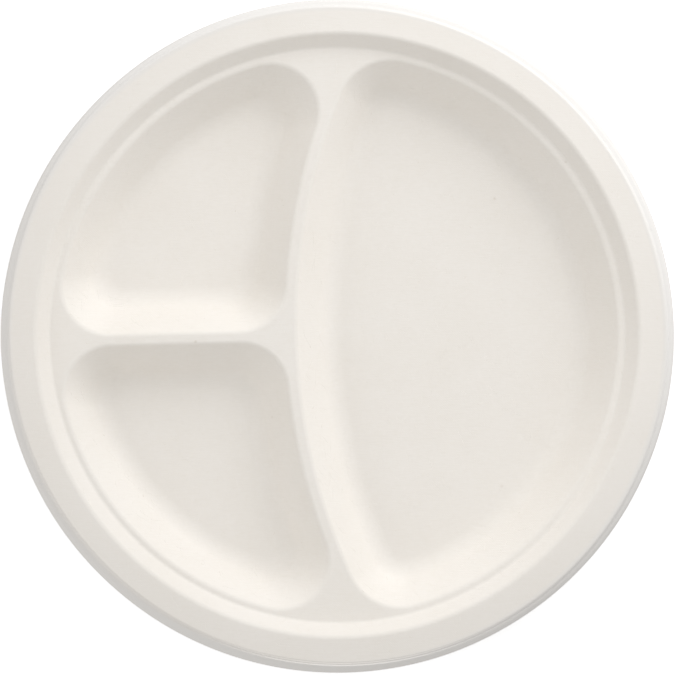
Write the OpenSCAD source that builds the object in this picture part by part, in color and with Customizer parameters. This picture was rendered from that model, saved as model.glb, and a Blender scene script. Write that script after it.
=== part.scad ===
// Round moulded-fibre plate with one large and two small compartments.
// Origin: centre of the plate, on the table. The large compartment is on the +X side,
// and the plate is the same on both sides of the XZ plane.

/* [Plate] */
// Diameter over the turned-down edge
plate_d = 260; // [220:1:300]
// Thickness of the pressed sheet
wall = 0.8; // [0.5:0.1:1]
// Height of the divider crests and the ledge above the table
crest_h = 15; // [12:0.5:20]

/* [Turned edge] */
// Width of the short steep skirt under the rim, seen from above
skirt_w = 0.8; // [0.7:0.1:1.5]
// Drop of the skirt
skirt_drop = 1.7; // [1.5:0.1:3]
// Width of the narrow flange below the skirt
flange_w = 1.4; // [1.2:0.1:3]
// Drop of the flange
flange_drop = 1; // [0.5:0.1:1.5]
// Width of the steep free edge
free_edge_w = 1.3; // [0.8:0.1:2]
// Drop of the free edge
free_edge_drop = 2.4; // [1.5:0.1:3]
// Radius of the bend at the top of the skirt
skirt_round = 1; // [0.9:0.1:1.6]
// Radius of the two bends beside the flange
flange_round = 1; // [0.9:0.1:1.2]

/* [Rim] */
// Width of the flat rim between its two corners
rim_w = 10.3; // [7:0.1:14]
// Fall of the rim from its inner to its outer corner
rim_fall = 0.9; // [0.5:0.05:2.5]
// Radius of the rim's inner corner
rim_round = 2.7; // [2:0.1:5]

/* [Step and ledge] */
// Width of the step between the ledge and the rim
step_w = 5.3; // [4:0.1:8]
// Rise of the step
step_rise = 4.9; // [3:0.1:7]
// Radius at the foot of the step
step_foot_round = 1.8; // [1:0.1:2]
// Width of the ledge from the compartments' edge to the foot of the step
ledge_w = 1.4; // [1.2:0.1:6]

/* [Dividers] */
// Radius of the long divider's bow, along the middle of its crest
bow_r = 238; // [180:1:400]
// How far the middle of the long divider lies from the plate's centre
bow_offset = 18; // [5:0.5:35]
// Width of the level crest of both dividers
crest_w = 2; // [1:0.1:5]

/* [Compartments] */
// Width of the sloping walls, seen from above
wall_run = 13.6; // [12:0.1:16]
// Radius of the compartments' upper edge
lip_round = 2.5; // [1:0.1:3]
// Radius of the wide bend between wall and floor
floor_round = 11; // [6:0.5:13]
// Corner radius at the upper edge of the large compartment
large_corner_r = 22; // [12:0.5:26]
// Corner radius at the upper edge of the small compartments
small_corner_r = 19.5; // [12:0.5:24]
// Corner radius of every compartment at its floor
floor_corner_r = 5; // [2:0.5:8]

/* [Hidden] */

// Colour of the uncoated fibre
fibre = [0.93, 0.91, 0.87];

// Steps in each rounded bend of the ring profile
bend_steps = 7;
// Steps in the rounded edge, down the straight wall and in the rounded foot of a compartment
lip_steps = 4;
wall_steps = 3;
foot_steps = 7;
// Steps along a corner, along the ledge side and along the divider side of a compartment
corner_steps = 9;
small_ledge_steps = 20;
small_divider_steps = 12;
small_cross_steps = 8;
large_ledge_steps = 44;
large_divider_steps = 20;
// Facets of the round cuts
round_facets = 180;

// Radii of the ring's corners, from the outside in
plate_r = plate_d / 2;
flange_outer_r = plate_r - free_edge_w;
flange_inner_r = flange_outer_r - flange_w;
rim_outer_r = flange_inner_r - skirt_w;
rim_inner_r = rim_outer_r - rim_w;
step_foot_r = rim_inner_r - step_w;
pocket_r = step_foot_r - ledge_w;

// Heights of the ring's corners, from the inside out
rim_inner_h = crest_h + step_rise;
rim_outer_h = rim_inner_h - rim_fall;
flange_inner_h = rim_outer_h - skirt_drop;
flange_outer_h = flange_inner_h - flange_drop;
free_edge_h = flange_outer_h - free_edge_drop;

// Where the step leaves the level web
step_slope = atan(step_rise / step_w);
web_r = step_foot_r - step_foot_round * tan(step_slope / 2);

// Centre of the long divider's bow, and its two sides
bow_centre = [bow_r - bow_offset, 0];
bow_large_r = bow_r - crest_w / 2;
bow_small_r = bow_r + crest_w / 2;

// Slope of the compartment walls and the places of their two bends, counted inwards
// from the compartment's edge
wall_slope = atan((crest_h - wall) / wall_run);
lip_reach = lip_round * tan(wall_slope / 2);
foot_reach = floor_round * tan(wall_slope / 2);
floor_inset = lip_reach + wall_run + foot_reach;

// The other leg of a right triangle, from its long side and one leg
function leg(long_side, other) = sqrt(max(0, long_side * long_side - other * other));

// Vector maths
function unit(v) = v / norm(v);
function direction(v) = atan2(v[1], v[0]);
function turned(v) = [v[1], -v[0]];
function polar(centre, radius, angle) = centre + radius * [cos(angle), sin(angle)];
function last(list) = len(list) - 1;
function slice(list, from, to) = [for (i = [from : to]) list[i]];
function reversed(list) = [for (i = [last(list) : -1 : 0]) list[i]];
function between(a, b, share) = a + (b - a) * share;
function joined(lists) = [for (list = lists) for (item = list) item];

// Points on an arc, with its last point left to the next stretch
function arc(centre, radius, from, to, steps) =
    [for (i = [0 : steps - 1]) polar(centre, radius, between(from, to, i / steps))];

// Points on a straight stretch, with its last point left to the next stretch
function straight(from, to, steps) = [for (i = [0 : steps - 1]) between(from, to, i / steps)];

// The point at r1 from c1 and r2 from c2 that lies to the left of the way from c1 to c2
function crossing(c1, r1, c2, r2) =
    let (gap = norm(c2 - c1), along = unit(c2 - c1), a = (r1 * r1 - r2 * r2 + gap * gap) / (2 * gap))
    c1 + a * along - leg(r1, a) * turned(along);

// The bend of a given radius that replaces corner b of the path a, b, c
function bend(a, b, c, radius, steps) =
    let (
        back = unit(a - b), on = unit(c - b), half = acos(back * on) / 2,
        centre = b + unit(back + on) * radius / sin(half),
        from = direction(b + back * radius / tan(half) - centre),
        sweep = (180 - 2 * half) * sign(cross(back, on))
    )
    [for (i = [0 : steps]) polar(centre, radius, from - sweep * i / steps)];

// A path with each corner between its ends bent to its radius
function bent_path(corners, radii, steps) = joined([
    [corners[0]],
    for (i = [1 : last(corners) - 1])
        bend(corners[i - 1], corners[i], corners[i + 1], radii[i - 1], steps),
    [corners[last(corners)]]
]);

// For each point of a path, the step that carries it through the sheet to the underside
function mitres(path, thickness) = [
    for (i = [0 : last(path)])
        let (
            n1 = turned(unit(path[max(i, 1)] - path[max(i, 1) - 1])),
            n2 = turned(unit(path[min(i, last(path) - 1) + 1] - path[min(i, last(path) - 1)])),
            mid = unit(n1 + n2)
        )
        mid * thickness / (mid * n1)
];

// Top side of the ring from the web outwards, as points of radius and height
ring_path = bent_path(
    [
        [web_r - step_foot_round, crest_h], [step_foot_r, crest_h], [rim_inner_r, rim_inner_h],
        [rim_outer_r, rim_outer_h], [flange_inner_r, flange_inner_h],
        [flange_outer_r, flange_outer_h], [plate_r, free_edge_h]
    ],
    [step_foot_round, rim_round, skirt_round, flange_round, flange_round],
    bend_steps
);
// Its underside. The ring meets the level web at the second point, so both first steps go
// straight down.
level_step = [0, -wall];
ring_mitres = mitres(ring_path, wall);
ring_under = ring_path + concat([level_step, level_step], slice(ring_mitres, 2, last(ring_path)));

// Places along the ring path where its regions meet
step_start = 1;
rim_start = step_start + bend_steps + 1;
edge_start = rim_start + bend_steps + 1;

// One region of the ring, turned round the plate's axis
module ring_region(from, to) {
    color(fibre)
        rotate_extrude($fn = round_facets)
            polygon(concat(slice(ring_path, from, to), reversed(slice(ring_under, from, to))));
}

// Wall path of a compartment as points of inset from its edge and height
wall_corners = [
    [-lip_round, crest_h], [lip_reach, crest_h],
    [lip_reach + wall_run, wall], [floor_inset + floor_round, wall]
];
wall_bends = concat(
    bend(wall_corners[0], wall_corners[1], wall_corners[2], lip_round, lip_steps),
    bend(wall_corners[1], wall_corners[2], wall_corners[3], floor_round, foot_steps)
);
wall_path = concat(
    slice(wall_bends, 0, lip_steps - 1),
    straight(wall_bends[lip_steps], wall_bends[lip_steps + 1], wall_steps),
    slice(wall_bends, lip_steps + 1, last(wall_bends))
);
// Through the sheet along that path, straight down where it meets the web and at the floor
wall_mitres = mitres(wall_path, wall);
wall_through = concat(
    [level_step], slice(wall_mitres, 1, last(wall_path) - 1), [level_step]
);

// Corner radius at an inset, from its value at the edge to its value at the floor
function corner_at(edge_r, inset) = between(edge_r, floor_corner_r, inset / floor_inset);

// Outline of the large compartment, drawn in by inset and with corners of radius r
function large_outline(inset, r) =
    let (
        ledge_side_r = pocket_r - inset,
        divider_side_r = bow_large_r - inset,
        corner = crossing([0, 0], ledge_side_r - r, bow_centre, divider_side_r - r),
        low_corner = [corner[0], -corner[1]],
        ledge_end = direction(corner),
        divider_end = direction(corner - bow_centre)
    )
    joined([
        arc([0, 0], ledge_side_r, -ledge_end, ledge_end, large_ledge_steps),
        arc(corner, r, ledge_end, divider_end, corner_steps),
        arc(bow_centre, divider_side_r, divider_end, 360 - divider_end, large_divider_steps),
        arc(low_corner, r, 360 - divider_end, 360 - ledge_end, corner_steps)
    ]);

// Outline of the small compartment on the +Y side, drawn in by inset and with corners of radius r
function small_outline(inset, r) =
    let (
        ledge_side_r = pocket_r - inset,
        divider_side_r = bow_small_r + inset,
        cross_side = crest_w / 2 + inset,
        corner_y = cross_side + r,
        tip = crossing([0, 0], ledge_side_r - r, bow_centre, divider_side_r + r),
        inner = [bow_centre[0] - leg(divider_side_r + r, corner_y), corner_y],
        outer = [-leg(ledge_side_r - r, corner_y), corner_y]
    )
    joined([
        arc([0, 0], ledge_side_r, direction(tip), direction(outer), small_ledge_steps),
        arc(outer, r, direction(outer), 270, corner_steps),
        straight([outer[0], cross_side], [inner[0], cross_side], small_cross_steps),
        arc(inner, r, 270, 360 + direction(bow_centre - inner), corner_steps),
        arc(bow_centre, divider_side_r, direction(inner - bow_centre),
            direction(tip - bow_centre), small_divider_steps),
        arc(tip, r, direction(bow_centre - tip), direction(tip), corner_steps)
    ]);

// One ring of points of a compartment, at the place p of the wall path. through carries it
// from the top side to the underside, and is zero on the top side.
function compartment_ring(large, p, through) =
    let (
        inset = p[0] + through[0],
        height = p[1] + through[1],
        edge_r = large ? large_corner_r : small_corner_r,
        r = corner_at(edge_r, p[0]) - through[0]
    )
    [for (q = large ? large_outline(inset, r) : small_outline(inset, r)) [q[0], q[1], height]];

// A compartment: rings of points down its top side, the same rings on its underside,
// and faces between them
module compartment(large) {
    top = [for (p = wall_path) compartment_ring(large, p, [0, 0])];
    under = [
        for (i = [0 : last(wall_path)]) compartment_ring(large, wall_path[i], wall_through[i])
    ];
    n = len(top[0]);
    floor_ring = n * last(top);
    underside = n * len(top);
    sides = [for (j = [0 : last(top) - 1]) for (i = [0 : n - 1]) [j * n + i, j * n + (i + 1) % n]];
    top_faces = [for (s = sides) for (f = [[s[0], s[0] + n, s[1] + n], [s[0], s[1] + n, s[1]]]) f];
    under_faces = [
        for (s = sides)
            for (f = [[s[0], s[1], s[1] + n], [s[0], s[1] + n, s[0] + n]])
                [for (k = f) k + underside]
    ];
    edge_faces = [for (i = [0 : n - 1]) [i, (i + 1) % n, (i + 1) % n + underside, i + underside]];
    floor_faces = [
        [for (i = [n - 1 : -1 : 0]) floor_ring + i],
        [for (i = [0 : n - 1]) underside + floor_ring + i]
    ];
    color(fibre)
        polyhedron(
            points = joined(concat(top, under)),
            faces = concat(top_faces, under_faces, edge_faces, floor_faces)
        );
}

module turned_edge() ring_region(edge_start, last(ring_path));

module rim() ring_region(rim_start, edge_start);

module inner_step() ring_region(step_start, rim_start);

module divider_web() {
    color(fibre)
        translate([0, 0, crest_h - wall])
            linear_extrude(height = wall)
                difference() {
                    circle(r = web_r, $fn = round_facets);
                    polygon(large_outline(0, large_corner_r));
                    polygon(small_outline(0, small_corner_r));
                    mirror([0, 1]) polygon(small_outline(0, small_corner_r));
                }
}

module large_compartment() compartment(true);

module upper_compartment() compartment(false);

module lower_compartment() mirror([0, 1, 0]) compartment(false);

turned_edge();
rim();
inner_step();
divider_web();
large_compartment();
upper_compartment();
lower_compartment();
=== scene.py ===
import math
import bmesh
import bpy
import numpy as np
from mathutils import Matrix, Vector, noise
from mathutils.geometry import delaunay_2d_cdt


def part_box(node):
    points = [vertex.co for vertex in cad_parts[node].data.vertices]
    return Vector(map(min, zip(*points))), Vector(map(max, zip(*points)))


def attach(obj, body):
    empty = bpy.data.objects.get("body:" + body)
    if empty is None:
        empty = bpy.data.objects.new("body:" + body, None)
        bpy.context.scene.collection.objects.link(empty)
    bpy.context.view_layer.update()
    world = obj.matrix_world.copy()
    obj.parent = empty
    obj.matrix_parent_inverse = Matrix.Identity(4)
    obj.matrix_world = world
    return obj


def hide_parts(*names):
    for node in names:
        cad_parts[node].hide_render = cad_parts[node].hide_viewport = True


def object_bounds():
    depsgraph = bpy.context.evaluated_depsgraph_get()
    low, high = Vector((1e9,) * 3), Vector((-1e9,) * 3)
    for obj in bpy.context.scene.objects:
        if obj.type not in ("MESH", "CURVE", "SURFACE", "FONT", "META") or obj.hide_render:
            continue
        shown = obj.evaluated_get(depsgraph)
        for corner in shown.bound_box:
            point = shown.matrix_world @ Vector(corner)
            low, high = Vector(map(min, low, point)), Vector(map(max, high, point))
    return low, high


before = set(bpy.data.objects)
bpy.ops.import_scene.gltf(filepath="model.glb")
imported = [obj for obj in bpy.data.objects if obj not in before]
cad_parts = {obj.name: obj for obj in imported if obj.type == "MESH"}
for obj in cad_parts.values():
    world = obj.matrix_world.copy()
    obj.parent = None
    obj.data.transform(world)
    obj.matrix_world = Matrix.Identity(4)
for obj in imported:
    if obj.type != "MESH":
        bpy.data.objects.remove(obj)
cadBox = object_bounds()

# Shapes are worked out in millimetres and become metres as a mesh is made. The finishes, the stage
# and the lamps are in metres.
mm = 0.001
body = "root"

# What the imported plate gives: its reach, its heights and the thickness of its sheet
webLow, webHigh = (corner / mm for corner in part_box("divider_web"))
sheet = {
    "outerRadius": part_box("turned_edge")[1].x / mm,
    "topHeight": cadBox[1].z / mm,
    "crestHeight": webHigh.z,
    "wall": webHigh.z - webLow.z,
    "edgeHeight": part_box("turned_edge")[0].z / mm,
    "webRadius": webHigh.x,
}


# Small helpers
def heading(angle):
    return Vector((math.cos(angle), math.sin(angle)))


def angleOf(vector):
    return math.atan2(vector.y, vector.x)


def rightOf(vector):
    return Vector((vector.y, -vector.x)).normalized()


def leg(longSide, other):
    return math.sqrt(max(0, longSide ** 2 - other ** 2))


def between(a, b, share):
    return a + (b - a) * share


def ramp(value, low, high):
    return min(1, max(0, (value - low) / (high - low)))


def addToScene(name, data):
    made = bpy.data.objects.new(name, data)
    bpy.context.scene.collection.objects.link(made)
    return made


def addMesh(name, points, faces, edges=()):
    mesh = bpy.data.meshes.new(name)
    mesh.from_pydata([Vector(point) * mm for point in points], edges, faces)
    return addToScene(name, mesh)


def addSolid(name, solid):  # from a bmesh, which is then let go
    mesh = bpy.data.meshes.new(name)
    solid.to_mesh(mesh)
    solid.free()
    return addToScene(name, mesh)


# Nodes: an input takes a value, or the socket that feeds it
def feed(tree, socket, value):
    if isinstance(value, bpy.types.NodeSocket):
        tree.links.new(value, socket)
    else:
        socket.default_value = value


def addNode(tree, kind, inputs=None, **settings):
    made = tree.nodes.new(kind)
    for name, value in settings.items():
        setattr(made, name, value)
    for name, value in (inputs or {}).items():
        feed(tree, made.inputs[name], value)
    return made


def maths(tree, operation, a, b):
    return addNode(tree, "ShaderNodeMath", {0: a, 1: b}, operation=operation).outputs[0]


def mixture(tree, layers, shares):  # the sum of the layers, each times its share
    total = None
    for layer, share in zip(layers, shares):
        part = maths(tree, "MULTIPLY", layer, share)
        total = part if total is None else maths(tree, "ADD", total, part)
    return total


def noiseAt(tree, place, scale, detail):
    made = addNode(tree, "ShaderNodeTexNoise", {"Vector": place, "Scale": scale, "Detail": detail})
    return made.outputs["Fac"]


def mapped(tree, place, scale, turn=0):  # scaled, then turned by degrees
    made = addNode(tree, "ShaderNodeMapping", {
        "Vector": place, "Rotation": (0, 0, math.radians(turn)), "Scale": scale})
    return made.outputs["Vector"]


def stretch(tree, value, low, high, newLow=0, newHigh=1):
    made = addNode(tree, "ShaderNodeMapRange", {
        "Value": value, "From Min": low, "From Max": high, "To Min": newLow, "To Max": newHigh})
    return made.outputs["Result"]


def blend(tree, share, a, b):
    made = addNode(tree, "ShaderNodeMix", data_type="RGBA")
    for socket, value in ((0, share), (6, a), (7, b)):  # where a mix of colours has these three
        feed(tree, made.inputs[socket], value)
    return made.outputs[2]


def addMaterial(name):  # with its tree, its shader and the place on the object
    material = bpy.data.materials.new(name)
    material.use_nodes = True
    tree = material.node_tree
    place = addNode(tree, "ShaderNodeTexCoord").outputs["Object"]
    return material, tree, tree.nodes["Principled BSDF"], place


# The finish: matted plant fibre with the print of the forming mesh and a few specks
pulp = {
    "light": (0.892, 0.851, 0.794, 1),
    "shade": (0.862, 0.816, 0.749, 1),
    "fleck": (0.78, 0.725, 0.65, 1),
    # painted shade: the colour darkens towards the rim, where the light falls off
    "paintedRimShade": (0.79, 0.75, 0.70, 1), "paintedRimShadeShare": 0.25, "paintedRimShadeFrom": 0.108, "paintedRimShadeTo": 0.123,
    # painted light: the turned edge is painted greyer, for the neutral light that the white floor and
    # backdrop throw on it
    "edge": (0.80, 0.778, 0.75, 1), "edgeShare": 0.8, "edgeFrom": 0.1248, "edgeTo": 0.1272,
    "roughness": 0.82, "roughnessSpread": 0.07,
    "specular": 0.28,
    "noiseRange": (0.3, 0.7),  # most of a noise's values lie between these
    "cloudSize": 0.03, "cloudDetail": 3,
    "grainSize": 0.0016, "grainDetail": 5,
    "strandLength": 0.0042, "strandWidth": 0.00042, "strandAngles": (12, 71, 133),
    "strandDetail": 2, "strandRange": (0.5, 0.8),
    "meshPitch": 0.00092, "meshTurn": 1.2, "meshCloudRange": (0.35, 0.65),
    # a fleck's reach is a share of the spacing, and few of the cells are chosen
    "fleckSpacing": 0.013, "fleckReach": 0.065, "fleckCoreShare": 0.4, "fleckLotRange": (0.72, 0.76),
    "mottleShares": (0.5, 0.3, 0.2),  # of clouds, grain and strands
    "bumpShares": (0.5, 0.5, 0.22),   # of strands, grain and wires
    "bumpDepth": 0.00006, "bumpStrength": 0.55,
}


def mattedStrands(tree, place, look):  # three noises drawn out along different directions
    length, width = 1 / look["strandLength"], 1 / look["strandWidth"]
    strands = None
    for turn in look["strandAngles"]:
        layer = noiseAt(tree, mapped(tree, place, (length, width, length), turn), 1, look["strandDetail"])
        strands = layer if strands is None else maths(tree, "MAXIMUM", strands, layer)
    return stretch(tree, strands, *look["strandRange"])


def meshPrint(tree, place, clouds, look):  # stronger in some places than in others
    turned = mapped(tree, place, (2 * math.pi / look["meshPitch"],) * 3, look["meshTurn"])
    apart = addNode(tree, "ShaderNodeSeparateXYZ", {"Vector": turned}).outputs
    wires = maths(tree, "MULTIPLY", maths(tree, "SINE", apart["X"], 0), maths(tree, "SINE", apart["Y"], 0))
    return maths(tree, "MULTIPLY", wires, stretch(tree, clouds, *look["meshCloudRange"]))


def barkFlecks(tree, place, look):  # one here and there, and no two alike
    cells = addNode(tree, "ShaderNodeTexVoronoi", {"Vector": place, "Scale": 1 / look["fleckSpacing"]})
    lot = addNode(tree, "ShaderNodeSeparateColor", {"Color": cells.outputs["Color"]}).outputs
    chosen = stretch(tree, lot["Red"], *look["fleckLotRange"])
    core = look["fleckReach"] * look["fleckCoreShare"]
    near = stretch(tree, cells.outputs["Distance"], look["fleckReach"], core)
    return maths(tree, "MULTIPLY", maths(tree, "MULTIPLY", chosen, near), lot["Green"])


def pressedFibre(look):
    material, tree, shader, place = addMaterial("pressed_fibre")
    clouds = noiseAt(tree, place, 1 / look["cloudSize"], look["cloudDetail"])
    grain = noiseAt(tree, place, 1 / look["grainSize"], look["grainDetail"])
    strands = mattedStrands(tree, place, look)
    wires = meshPrint(tree, place, clouds, look)

    mottle = mixture(tree, (clouds, grain, strands), look["mottleShares"])
    colour = blend(tree, stretch(tree, mottle, *look["noiseRange"]), look["light"], look["shade"])
    flat = mapped(tree, place, (1, 1, 0))
    reach = addNode(tree, "ShaderNodeVectorMath", {0: flat}, operation="LENGTH").outputs["Value"]
    # painted shade darkens the colour towards the rim, and a painted grey tint on the turned edge stands
    # in for the light that the white floor throws on it
    for zone in ("paintedRimShade", "edge"):
        share = stretch(tree, reach, look[f"{zone}From"], look[f"{zone}To"], 0, look[f"{zone}Share"])
        colour = blend(tree, share, colour, look[zone])
    colour = blend(tree, barkFlecks(tree, place, look), colour, look["fleck"])

    height = mixture(tree, (strands, grain, wires), look["bumpShares"])
    bump = addNode(tree, "ShaderNodeBump", {
        "Height": height, "Strength": look["bumpStrength"], "Distance": look["bumpDepth"]})
    smoothest = look["roughness"] - look["roughnessSpread"]
    roughest = look["roughness"] + look["roughnessSpread"]
    roughness = stretch(tree, grain, *look["noiseRange"], smoothest, roughest)

    feed(tree, shader.inputs["Base Color"], colour)
    feed(tree, shader.inputs["Normal"], bump.outputs["Normal"])
    feed(tree, shader.inputs["Roughness"], roughness)
    shader.inputs["Specular IOR Level"].default_value = look["specular"]
    return material


# The shreds of bark: two browns in patches
shred = {
    "pale": (0.84, 0.79, 0.71, 1), "dark": (0.74, 0.67, 0.59, 1),
    "patchSize": 0.006, "patchDetail": 2, "patchRange": (0.35, 0.65),
    "roughness": 0.8,
}


def darkShred(look):
    material, tree, shader, place = addMaterial("bark_shred")
    patches = noiseAt(tree, place, 1 / look["patchSize"], look["patchDetail"])
    share = stretch(tree, patches, *look["patchRange"])
    feed(tree, shader.inputs["Base Color"], blend(tree, share, look["pale"], look["dark"]))
    shader.inputs["Roughness"].default_value = look["roughness"]
    return material


fibre = pressedFibre(pulp)
bark = darkShred(shred)
print("finishes made")


# Geometry trees: each takes named inputs and hands out a smooth, real mesh with its finish
def startTree(name, inputs, output):
    tree = bpy.data.node_groups.new(name, "GeometryNodeTree")
    for label, kind in inputs.items():
        tree.interface.new_socket(label, in_out="INPUT", socket_type=f"NodeSocket{kind}")
    tree.interface.new_socket(output, in_out="OUTPUT", socket_type="NodeSocketGeometry")
    return tree, addNode(tree, "NodeGroupInput").outputs


def finishTree(tree, mesh, finish):
    smooth = addNode(tree, "GeometryNodeSetShadeSmooth", {"Geometry": mesh})
    real = addNode(tree, "GeometryNodeRealizeInstances", {"Geometry": smooth.outputs["Geometry"]})
    dressed = addNode(tree, "GeometryNodeSetMaterial", {
        "Geometry": real.outputs["Geometry"], "Material": finish})
    addNode(tree, "NodeGroupOutput", {0: dressed.outputs["Geometry"]})
    return tree


def applyTree(made, tree, values):
    modifier = made.modifiers.new(tree.name, "NODES")
    modifier.node_group = tree
    for item in tree.interface.items_tree:
        if item.in_out == "INPUT" and item.name in values:
            modifier[item.identifier] = values[item.name]
    evaluated = made.evaluated_get(bpy.context.evaluated_depsgraph_get())
    plain = bpy.data.meshes.new_from_object(evaluated)
    made.modifiers.clear()
    made.data = plain
    return made


# Paths through the sheet, as points of reach and height
def bend(before, corner, after, radius, steps):
    back, on = (before - corner).normalized(), (after - corner).normalized()
    half = math.acos(back.dot(on)) / 2
    centre = corner + (back + on).normalized() * (radius / math.sin(half))
    start = corner + back * (radius / math.tan(half)) - centre
    sweep = math.copysign(math.pi - 2 * half, back.cross(on))
    return [centre + Matrix.Rotation(-sweep * i / steps, 2) @ start for i in range(steps + 1)]


def subdivided(path, longest):  # the last point is kept
    points = []
    for start, end in zip(path, path[1:]):
        count = max(1, math.ceil((end - start).length / longest))
        points += [start.lerp(end, i / count) for i in range(count)]
    return points + [path[-1]]


def underside(path):  # mitred, so that the sheet keeps its thickness round a bend
    points = []
    for i, point in enumerate(path):
        first, second = max(i, 1), min(i, len(path) - 2)
        one = rightOf(path[first] - path[first - 1])
        two = rightOf(path[second + 1] - path[second])
        middle = (one + two).normalized()
        points.append(point + middle * (sheet["wall"] / middle.dot(one)))
    return points


# The ring: inner step, rim and turned edge
ring = {
    "skirtWidth": 0.8, "skirtDrop": 1.7,
    "flangeWidth": 1.4, "flangeDrop": 1,
    "freeEdgeWidth": 1.3, "freeEdgeDrop": 2.4,
    "skirtRound": 1, "flangeRound": 1,
    "rimWidth": 10.3, "rimFall": 0.9, "rimRound": 2.7,
    "stepWidth": 5.3, "stepRise": 4.9, "stepFootRound": 1.8,
    "bendSteps": 9, "longest": 1.2, "capSteps": 6,
    "turnSteps": 720,
}
ringNames = ("inner_step", "rim", "turned_edge")


def ringStretches(shape):  # the path along the top, the one below it and where each region starts
    outer, crest = sheet["outerRadius"], sheet["crestHeight"]
    corners = [Vector((outer, 0))]
    for width in ("freeEdgeWidth", "flangeWidth", "skirtWidth", "rimWidth", "stepWidth"):
        corners.insert(0, Vector((corners[0].x - shape[width], 0)))
    drops = (-shape["stepRise"], shape["rimFall"], shape["skirtDrop"], shape["flangeDrop"],
             shape["freeEdgeDrop"])
    corners[0].y = crest
    for corner, after, drop in zip(corners, corners[1:], drops):
        after.y = corner.y - drop
    # the free edge ends in a half round, so its path stops half a sheet short
    corners[-1] -= (corners[-1] - corners[-2]).normalized() * (sheet["wall"] / 2)
    corners.insert(0, Vector((sheet["webRadius"] - shape["stepFootRound"], crest)))
    rounds = (shape["stepFootRound"], shape["rimRound"], shape["skirtRound"], shape["flangeRound"],
              shape["flangeRound"])
    bends = [bend(*corners[i:i + 3], rounds[i], shape["bendSteps"]) for i in range(len(rounds))]
    path = [corners[0]]
    starts = []
    for points in bends:
        path += subdivided([path[-1], points[0]], shape["longest"])[1:]
        starts.append(len(path) - 1)
        path += points[1:]
    path += subdivided([path[-1], corners[-1]], shape["longest"])[1:]
    # each region starts with a bend, and the flange's two bends belong to the turned edge
    return path, underside(path), starts[:len(ringNames)] + [len(path) - 1]


def sweepTree():
    inputs = {"Profile": "Geometry", "Axis Distance": "Float", "Steps": "Int", "Finish": "Material"}
    tree, given = startTree("region_turned_round_the_axis", inputs, "Region")
    profile = addNode(tree, "GeometryNodeMeshToCurve", {"Mesh": given["Profile"]})
    rail = addNode(tree, "GeometryNodeCurvePrimitiveCircle", {
        "Resolution": given["Steps"], "Radius": given["Axis Distance"]})
    swept = addNode(tree, "GeometryNodeCurveToMesh", {
        "Curve": rail.outputs["Curve"], "Profile Curve": profile.outputs["Curve"]})
    return finishTree(tree, swept.outputs["Mesh"], given["Finish"])


def sweptRegion(name, profile, tree):
    middle = sum(point.x for point in profile) / len(profile)
    # Curve to Mesh lays a profile's second axis downwards on this circle
    points = [(point.x - middle, -point.y, 0) for point in profile]
    edges = [(i, (i + 1) % len(points)) for i in range(len(points))]
    made = addMesh(name, points, [], edges)
    return applyTree(made, tree, {
        "Axis Distance": middle * mm, "Steps": ring["turnSteps"], "Finish": fibre})


ringTop, ringUnder, borders = ringStretches(ring)
sweep = sweepTree()
regions = {}
for name, start, end in zip(ringNames, borders, borders[1:]):
    profile = ringTop[start:end + 1]
    if name == "turned_edge":  # half round of the free edge
        tip = (ringTop[-1] + ringUnder[-1]) / 2
        turn = -math.pi / ring["capSteps"]
        profile += [tip + Matrix.Rotation(turn * i, 2) @ (ringTop[-1] - tip)
                    for i in range(1, ring["capSteps"])]
    profile += ringUnder[start:end + 1][::-1]
    regions[name] = sweptRegion(f"{name}_moulded", profile, sweep)
print("ring swept")


# The basins: each is lofted through offset outlines made of arcs
basins = {
    "edgeRadius": 109.5,  # where the ledge ends and the walls start
    "bowRadius": 238, "bowOffset": 18, "crestWidth": 2,
    "wallRun": 13.6, "lipRound": 2.5, "floorRound": 11,
    "largeCorner": 22, "smallCorner": 19.5, "floorCorner": 5,
    "lipSteps": 8, "footSteps": 10, "longest": 1.1,
    "spacing": 1.2, "leastSteps": 4,
}
bowCentre = Vector((basins["bowRadius"] - basins["bowOffset"], 0))
axis = Vector((0, 0))


def arc(centre, radius, start, end):  # a stretch is its length and a way to walk along it
    return radius * abs(end - start), lambda share: centre + radius * heading(between(start, end, share))


def straight(start, end):
    return (end - start).length, lambda share: start.lerp(end, share)


def crossing(one, oneRadius, two, twoRadius):  # to the left of the way from one to two
    gap, along = (two - one).length, (two - one).normalized()
    reach = (oneRadius ** 2 - twoRadius ** 2 + gap ** 2) / (2 * gap)
    return one + along * reach - rightOf(along) * leg(oneRadius, reach)


def largeOutline(inset, corner):
    ledge = basins["edgeRadius"] - inset
    divider = basins["bowRadius"] - basins["crestWidth"] / 2 - inset
    upper = crossing(axis, ledge - corner, bowCentre, divider - corner)
    lower = Vector((upper.x, -upper.y))
    ledgeEnd, dividerEnd = angleOf(upper), angleOf(upper - bowCentre)
    full = 2 * math.pi
    return [
        arc(axis, ledge, -ledgeEnd, ledgeEnd),
        arc(upper, corner, ledgeEnd, dividerEnd),
        arc(bowCentre, divider, dividerEnd, full - dividerEnd),
        arc(lower, corner, full - dividerEnd, full - ledgeEnd),
    ]


def smallOutline(inset, corner):
    ledge = basins["edgeRadius"] - inset
    divider = basins["bowRadius"] + basins["crestWidth"] / 2 + inset
    cross = basins["crestWidth"] / 2 + inset
    tip = crossing(axis, ledge - corner, bowCentre, divider + corner)
    inner = Vector((bowCentre.x - leg(divider + corner, cross + corner), cross + corner))
    outer = Vector((-leg(ledge - corner, cross + corner), cross + corner))
    down = -math.pi / 2
    return [
        arc(axis, ledge, angleOf(tip), angleOf(outer)),
        arc(outer, corner, angleOf(outer), math.pi - down),
        straight(Vector((outer.x, cross)), Vector((inner.x, cross))),
        arc(inner, corner, down, angleOf(bowCentre - inner)),
        arc(bowCentre, divider, angleOf(inner - bowCentre), angleOf(tip - bowCentre)),
        arc(tip, corner, angleOf(bowCentre - tip), angleOf(tip)),
    ]


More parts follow.
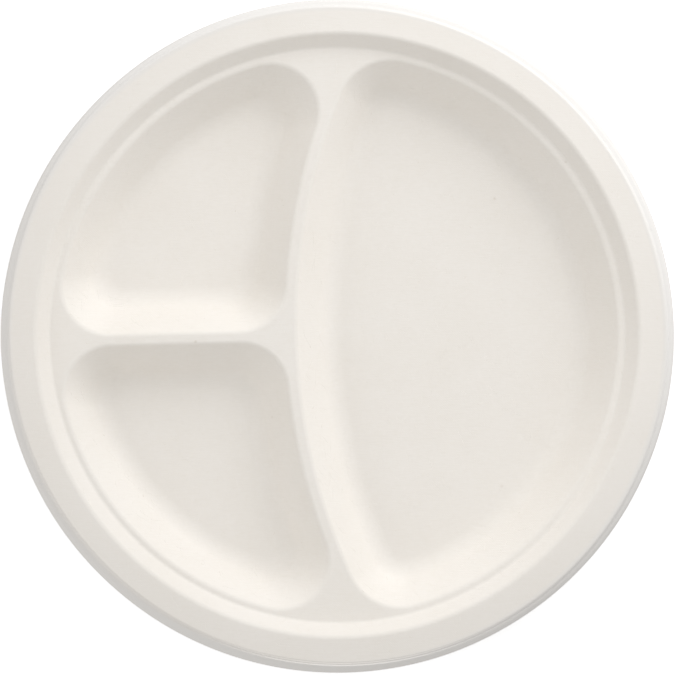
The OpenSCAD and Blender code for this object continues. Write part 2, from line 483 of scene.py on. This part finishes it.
def wallPath(shape):  # inset from the basin's edge, and height
    crest, wall = sheet["crestHeight"], sheet["wall"]
    slope = math.atan((crest - wall) / shape["wallRun"])
    lipReach = shape["lipRound"] * math.tan(slope / 2)
    footReach = shape["floorRound"] * math.tan(slope / 2)
    inset = lipReach + shape["wallRun"] + footReach
    corners = [Vector(point) for point in (
        (-shape["lipRound"], crest), (lipReach, crest),
        (lipReach + shape["wallRun"], wall), (inset + shape["floorRound"], wall))]
    lip = bend(*corners[:3], shape["lipRound"], shape["lipSteps"])
    foot = bend(*corners[1:], shape["floorRound"], shape["footSteps"])
    return lip[:-1] + subdivided([lip[-1], foot[0]], shape["longest"]) + foot[1:], inset


def within(places, loops):  # inside an odd number of the loops
    x, y = np.array(places).T[:, :, None]
    odd = np.zeros(len(places), int)
    for loop in loops:
        start = np.array(loop)
        end = np.roll(start, -1, axis=0)
        spans = (start[:, 1] > y) != (end[:, 1] > y)
        rise = np.where(start[:, 1] == end[:, 1], 1, end[:, 1] - start[:, 1])
        crossed = start[:, 0] + (end[:, 0] - start[:, 0]) * (y - start[:, 1]) / rise
        odd += (spans & (x < crossed)).sum(axis=1)
    return odd % 2 == 1


# A flat stretch of the sheet: rows of places, kept clear of the loops, with triangles over them
fill = {"spacing": 2.4, "rowShare": 0.87, "clearShare": 0.6, "nearness": 0.00001}
trianglesInside = 1  # the kind of result that delaunay_2d_cdt is asked for


def flatFill(loops, shape):
    # gives the places between the loops, and triangles that count the loops' own points first
    border = np.array([point for loop in loops for point in loop])
    edges, first = [], 0
    for loop in loops:
        edges += [(first + i, first + (i + 1) % len(loop)) for i in range(len(loop))]
        first += len(loop)
    low, high = border.min(0), border.max(0)
    spacing = shape["spacing"]
    grid = [(x, y) for row, y in enumerate(np.arange(low[1], high[1], spacing * shape["rowShare"]))
            for x in np.arange(low[0] + spacing / 2 * (row % 2), high[0], spacing)]
    grid = np.array(grid)[within(grid, loops)]
    clear = [np.hypot(*(border - place).T).min() > spacing * shape["clearShare"] for place in grid]
    inside = [Vector(place) for place in grid[clear]]
    points = [Vector(place) for place in border] + inside
    made = delaunay_2d_cdt(points, edges, [], trianglesInside, shape["nearness"])
    source = [origin[0] for origin in made[3]]
    triangles = np.array([[source[i] for i in face] for face in made[2]])
    middles = np.array(points)[triangles].mean(axis=1)
    return inside, triangles[within(middles, loops)].tolist()


def raised(points, height):
    return [(point.x, point.y, height) for point in points]


def bridge(one, other, count):
    return [(one + i, one + (i + 1) % count, other + (i + 1) % count, other + i) for i in range(count)]


def basinRegion(name, outline, edgeCorner):  # also gives its loops where the web meets it
    path, floorInset = wallPath(basins)
    through = [under - top for top, under in zip(path, underside(path))]
    counts = [max(basins["leastSteps"], math.ceil(length / basins["spacing"]))
              for length, _ in outline(0, edgeCorner)]

    def loop(place, step):
        corner = between(edgeCorner, basins["floorCorner"], place.x / floorInset) - step.x
        stretches = outline(place.x + step.x, corner)
        return [walk(i / count) for (_, walk), count in zip(stretches, counts) for i in range(count)]

    points, faces, edge = [], [], []
    for side in (0, 1):  # top and underside
        start = len(points)
        for place, step in zip(path, through):
            flat = loop(place, step * side)
            points += raised(flat, place.y + step.y * side)
        size = len(flat)
        edge.append([Vector(point[:2]) for point in points[start:start + size]])
        for row in range(len(path) - 1):
            faces += bridge(start + row * size, start + (row + 1) * size, size)
        last = len(points) - size
        inside, triangles = flatFill([flat], fill)
        points += raised(inside, path[-1].y + through[-1].y * side)
        faces += [[last + i for i in face] for face in triangles]
    faces += bridge(0, start, size)
    return addMesh(name, points, faces), edge


regions["large_compartment"], largeEdge = basinRegion(
    "large_compartment_moulded", largeOutline, basins["largeCorner"])
regions["upper_compartment"], upperEdge = basinRegion(
    "upper_compartment_moulded", smallOutline, basins["smallCorner"])
lowerMesh = regions["upper_compartment"].data.copy()
lowerMesh.name = "lower_compartment_moulded"
lowerMesh.transform(Matrix.Scale(-1, 4, (0, 1, 0)))
regions["lower_compartment"] = addToScene(lowerMesh.name, lowerMesh)
print("basins lofted")


# The web: ledge ring and the crests of both dividers
def webRegion(name):
    turns = [heading(2 * math.pi * i / ring["turnSteps"]) for i in range(ring["turnSteps"])]
    points, faces = [], []
    for side, rim in enumerate((ringTop[borders[0]], ringUnder[borders[0]])):
        lower = [Vector((point.x, -point.y)) for point in upperEdge[side]]
        loops = [[turn * rim.x for turn in turns], largeEdge[side], upperEdge[side], lower]
        if side == 0:  # the underside takes the top's fill
            inside, triangles = flatFill(loops, fill)
        start = len(points)
        points += raised([point for loop in loops for point in loop] + inside, rim.y)
        faces += [[start + i for i in face] for face in triangles]
    first = 0
    for loop in loops:
        faces += bridge(first, start + first, len(loop))
        first += len(loop)
    return addMesh(name, points, faces)


regions["divider_web"] = webRegion("divider_web_moulded")
print("web filled")


# How far the moulding strays from its drawing. Each noise has a size and a layer of its own.
unevenness = {
    "seed": 3,  # for the way sideways, which would follow the clock without it
    "broadRise": 0.22, "broadSize": 58, "broadLayer": 3.1,
    "smallRise": 0.03, "smallSize": 9, "smallLayer": 7.7,
    "sideways": 0.1, "sidewaysSize": 42, "sidewaysLayer": 11.3,
    # the moulding lies a little off the middle of its trimmed edge, its skirt is a little oval,
    # and the flange and the free edge take both up
    "offMiddle": Vector((0.05, 0.43)), "skirtOff": Vector((0.2, 0.4)),
    "rimFrom": 118, "rimTo": 126.5, "trimFrom": 127.9, "trimTo": 129.8,
    "skirtOval": 0.65, "ovalTurn": 50,  # the skirt is narrower by twice this along that turn
    # on one side the flange stayed nearly as high as the rim, and the free edge drops further
    "flangeLift": 2.2, "liftTurn": 268, "liftPower": 6, "liftFrom": 126.5, "liftTo": 127.8,
}


def wander(x, y, stray):  # two noises for the height and one for the way sideways
    def at(kind):
        return x / stray[f"{kind}Size"], y / stray[f"{kind}Size"], stray[f"{kind}Layer"]

    return noise.noise(at("broad")), noise.noise(at("small")), noise.noise_vector(at("sideways"))


def settle(mesh, stray):
    shrink = 1 - stray["sideways"] / sheet["outerRadius"]
    for vertex in mesh.vertices:
        x, y, z = vertex.co / mm
        reach, turn = math.hypot(x, y), math.atan2(y, x)
        share = z / sheet["topHeight"]
        broad, small, side = wander(x, y, stray)
        # low places rise and high ones sink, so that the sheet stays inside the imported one
        rise = stray["broadRise"] * (0.5 + broad / 2 - share)
        rise += stray["smallRise"] * (0.5 + small / 2 - share)
        nearLift = max(0, math.cos(turn - math.radians(stray["liftTurn"]))) ** stray["liftPower"]
        onFlange = ramp(reach, stray["liftFrom"], stray["liftTo"])
        onFlange *= 1 - ramp(reach, stray["liftTo"], sheet["outerRadius"])
        rise += stray["flangeLift"] * nearLift * onFlange
        skirtShare = ramp(reach, stray["rimFrom"], stray["rimTo"])
        off = stray["offMiddle"].lerp(stray["skirtOff"], skirtShare)
        inwards = stray["skirtOval"] * math.cos(2 * (turn - math.radians(stray["ovalTurn"])))
        off -= heading(turn) * inwards * skirtShare
        off *= 1 - ramp(reach, stray["trimFrom"], stray["trimTo"])
        aside = off + side.to_2d() * stray["sideways"]
        vertex.co = Vector((x * shrink + aside.x, y * shrink + aside.y, z + rise)) * mm


def faceOutwards(mesh):
    solid = bmesh.new()
    solid.from_mesh(mesh)
    bmesh.ops.recalc_face_normals(solid, faces=solid.faces)
    solid.to_mesh(mesh)
    solid.free()
    mesh.shade_smooth()


def shareNormals(pieces):
    # Where two regions meet, both take the normal of the whole sheet, so that no seam shows
    sameSpot = 0.001 * mm
    joined = bmesh.new()
    for piece in pieces:
        joined.from_mesh(piece.data)
    joined.verts.index_update()
    same = bmesh.ops.find_doubles(joined, verts=joined.verts, dist=sameSpot)["targetmap"]
    owner = np.arange(len(joined.verts))
    for vertex, target in same.items():
        owner[vertex.index] = target.index
    normals = np.zeros((len(owner), 3))
    meeting = {}
    for face in joined.faces:
        key = frozenset(owner[vertex.index] for vertex in face.verts)
        meeting.setdefault(key, []).append(face)
    for key, faces in meeting.items():
        if len(faces) == 1:
            for corner in key:
                normals[corner] += faces[0].normal * faces[0].calc_area()
    lengths = np.linalg.norm(normals, axis=1)
    lengths[lengths == 0] = 1
    normals /= lengths[:, None]
    first = 0
    for piece in pieces:
        mesh = piece.data
        loopNormals = [None] * len(mesh.loops)
        for face in mesh.polygons:
            corners = [owner[first + vertex] for vertex in face.vertices]
            hidden = len(meeting[frozenset(corners)]) > 1
            for loop, corner in zip(face.loop_indices, corners):
                loopNormals[loop] = face.normal if hidden else normals[corner]
        mesh.normals_split_custom_set(loopNormals)
        first += len(mesh.vertices)
    hiddenFaces = sum(len(faces) for faces in meeting.values() if len(faces) > 1)
    joined.free()
    return hiddenFaces


noise.seed_set(unevenness["seed"])
for name, piece in regions.items():
    settle(piece.data, unevenness)
    faceOutwards(piece.data)
    piece.data.materials.clear()
    piece.data.materials.append(fibre)
print("hidden meeting faces:", shareNormals(list(regions.values())))
for name, piece in regions.items():
    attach(piece, body)
    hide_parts(name)
    print(piece.name, len(piece.data.polygons), "faces")


# What lies on the sheet: loose strands all over it, and a few shreds of bark. Both are pressed
# half into it.
lying = {
    "upwards": 0.3,  # least upward share of a face that they lie on
    "bendShare": 0.22, "lengthShares": (0.35, 1.3), "bendSteps": 6, "facets": 5,
    "tipShare": 0.2, "middleShare": 1.2,  # of the radius
    "strands": {"perSquareMetre": 30000, "length": 6.5, "radius": 0.026, "seed": 4},
    "shreds": {"perSquareMetre": 1500, "length": 1.1, "radius": 0.055, "seed": 9},
}


def scatterTree(shape):
    tree, given = startTree("strands_on_the_sheet", {
        "Sheet": "Geometry", "Density": "Float", "Length": "Float", "Radius": "Float",
        "Seed": "Int", "Finish": "Material"}, "Strands")

    def chance(kind, low, high, output):
        sockets = {"FLOAT_VECTOR": (0, 1), "FLOAT": (2, 3)}[kind]
        made = addNode(tree, "FunctionNodeRandomValue", {
            sockets[0]: low, sockets[1]: high, "Seed": given["Seed"]}, data_type=kind)
        return made.outputs[output]

    places = addNode(tree, "GeometryNodeDistributePointsOnFaces", {
        "Mesh": given["Sheet"], "Density": given["Density"], "Seed": given["Seed"]})
    strand = addNode(tree, "GeometryNodeCurveQuadraticBezier", {
        "Resolution": shape["bendSteps"],
        "Start": (-0.5, 0, 0), "Middle": (0, shape["bendShare"], 0), "End": (0.5, 0, 0)})
    turn = addNode(tree, "FunctionNodeAxisAngleToRotation", {
        "Axis": (0, 0, 1), "Angle": chance("FLOAT", 0, 2 * math.pi, 1)})
    laid = addNode(tree, "FunctionNodeRotateRotation", {
        "Rotation": places.outputs["Rotation"], "Rotate By": turn.outputs["Rotation"]},
        rotation_space="LOCAL")
    short, long = shape["lengthShares"]
    size = addNode(tree, "ShaderNodeVectorMath", {
        0: chance("FLOAT_VECTOR", (short, -long, 1), (long, long, 1), 0),
        "Scale": given["Length"]}, operation="SCALE")
    copies = addNode(tree, "GeometryNodeInstanceOnPoints", {
        "Points": places.outputs["Points"], "Instance": strand.outputs["Curve"],
        "Rotation": laid.outputs["Rotation"], "Scale": size.outputs["Vector"]})
    curves = addNode(tree, "GeometryNodeRealizeInstances", {"Geometry": copies.outputs["Instances"]})
    nearest = addNode(tree, "GeometryNodeProximity", {"Geometry": given["Sheet"]}, target_element="FACES")
    lowered = addNode(tree, "GeometryNodeSetPosition", {
        "Geometry": curves.outputs["Geometry"], "Position": nearest.outputs["Position"]})

    # thick in the middle and thin at both ends: 4 * along * (1 - along) is 1 in the middle
    along = addNode(tree, "GeometryNodeSplineParameter").outputs["Factor"]
    hump = maths(tree, "MULTIPLY", along, maths(tree, "SUBTRACT", 1, along))
    swell = 4 * (shape["middleShare"] - shape["tipShare"])
    taper = addNode(tree, "ShaderNodeMath", {
        0: hump, 1: swell, 2: shape["tipShare"]}, operation="MULTIPLY_ADD")
    section = addNode(tree, "GeometryNodeCurvePrimitiveCircle", {
        "Resolution": shape["facets"], "Radius": given["Radius"]})
    solid = addNode(tree, "GeometryNodeCurveToMesh", {
        "Curve": lowered.outputs["Geometry"], "Profile Curve": section.outputs["Curve"],
        "Scale": taper.outputs[0], "Fill Caps": True})
    return finishTree(tree, solid.outputs["Mesh"], given["Finish"])


def sheetTop(name, pieces, upwards):
    joined = bmesh.new()
    for piece in pieces:
        joined.from_mesh(piece.data)
    joined.normal_update()
    rest = [face for face in joined.faces if face.normal.z < upwards]
    bmesh.ops.delete(joined, geom=rest, context="FACES")
    return addSolid(name, joined)


scatter = scatterTree(lying)
for name, finish in (("strands", fibre), ("shreds", bark)):
    look = lying[name]
    piece = sheetTop(f"loose_{name}", regions.values(), lying["upwards"])
    applyTree(piece, scatter, {
        "Density": look["perSquareMetre"], "Length": look["length"] * mm, "Radius": look["radius"] * mm,
        "Seed": look["seed"], "Finish": finish})
    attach(piece, body)
    print(piece.name, len(piece.data.polygons), "faces")


# Stage: a pale floor and a pale sky, both white where the camera sees them
stage = {
    "radius": 4, "facets": 96, "drop": 0.0002,
    "colour": (0.82, 0.82, 0.82, 1), "lift": 0.6,
    "sky": 0.6,
}


def whiteWhenSeen(tree):
    path = addNode(tree, "ShaderNodeLightPath").outputs
    seen = path["Is Camera Ray"]
    for label in ("Is Glossy Ray", "Is Transmission Ray"):
        seen = maths(tree, "MAXIMUM", seen, path[label])
    return seen


def makeFloor(look):
    disc = bmesh.new()
    bmesh.ops.create_circle(disc, cap_ends=True, segments=look["facets"], radius=look["radius"])
    bmesh.ops.translate(disc, verts=disc.verts, vec=(0, 0, -look["drop"]))
    floor = addSolid("floor", disc)
    material = bpy.data.materials.new("floor_white")
    material.use_nodes = True
    tree = material.node_tree
    tree.nodes.clear()
    paint = addNode(tree, "ShaderNodeBsdfDiffuse", {"Color": look["colour"]})
    strength = maths(tree, "MULTIPLY", whiteWhenSeen(tree), look["lift"])
    glow = addNode(tree, "ShaderNodeEmission", {"Strength": strength})
    both = addNode(tree, "ShaderNodeAddShader", {0: paint.outputs[0], 1: glow.outputs[0]})
    addNode(tree, "ShaderNodeOutputMaterial", {"Surface": both.outputs[0]})
    floor.data.materials.append(material)


def makeSky(look):
    world = bpy.data.worlds.new("studio")
    world.use_nodes = True
    bpy.context.scene.world = world
    tree = world.node_tree
    background = tree.nodes["Background"]
    background.inputs["Color"].default_value = (1, 1, 1, 1)
    feed(tree, background.inputs["Strength"], stretch(tree, whiteWhenSeen(tree), 0, 1, look["sky"], 1))


# Lamps: round soft ones, placed by degrees round the plate and above the floor
lamps = {
    "key": {"turn": 55, "height": 29, "distance": 1.1, "size": 0.85, "power": 7.3,
            "colour": (0.985, 1, 1.025)},
    "fill": {"turn": 203, "height": 30, "distance": 1.6, "size": 0.9, "power": 3.2,
             "colour": (1, 1, 1)},
    "side": {"turn": 130, "height": 15, "distance": 1.6, "size": 0.9, "power": 1.2,
             "colour": (1, 1, 1)},
}


def addLamp(name, look):
    lamp = bpy.data.lights.new(name, "AREA")
    lamp.shape = "DISK"
    lamp.size = look["size"]
    lamp.energy = look["power"]
    lamp.color = look["colour"]
    made = addToScene(name, lamp)
    turn, height = math.radians(look["turn"]), math.radians(look["height"])
    towards = (heading(turn) * math.cos(height)).to_3d() + Vector((0, 0, math.sin(height)))
    made.location = towards * look["distance"]
    made.rotation_euler = towards.to_track_quat("Z", "Y").to_euler()


# Camera: straight above, and turned a little as it was for the photograph
view = {
    "pixels": 680, "pixelSize": 0.3854,  # millimetres in the plane of the plate's edge
    "centre": (337.4, 336),              # pixel of the plate's axis in that plane
    "distance": 3, "roll": 1.35,
    "sensor": 36, "nearest": 0.1, "farthest": 50,
}


def makeCamera(look):
    roll = math.radians(look["roll"])
    toCamera = Vector((0, 0, 1))
    right, up = heading(-roll).to_3d(), heading(math.pi / 2 - roll).to_3d()
    half = look["pixels"] / 2
    aside = (half - look["centre"][0]) * look["pixelSize"]
    above = (look["centre"][1] - half) * look["pixelSize"]
    aim = Vector((0, 0, sheet["edgeHeight"])) * mm + (right * aside + up * above) * mm
    lens = bpy.data.cameras.new("camera")
    lens.sensor_width = look["sensor"]
    lens.lens = lens.sensor_width * look["distance"] / (look["pixels"] * look["pixelSize"] * mm)
    lens.clip_start = look["nearest"]
    lens.clip_end = look["farthest"]
    made = addToScene("camera", lens)
    place = Matrix((right, up, toCamera)).transposed().to_4x4()
    place.translation = aim + toCamera * look["distance"]
    made.matrix_world = place
    bpy.context.scene.camera = made


makeFloor(stage)
makeSky(stage)
for name, look in lamps.items():
    addLamp(name, look)
makeCamera(view)
bpy.context.scene.view_settings.view_transform = "Standard"
print("stage, light and camera set")
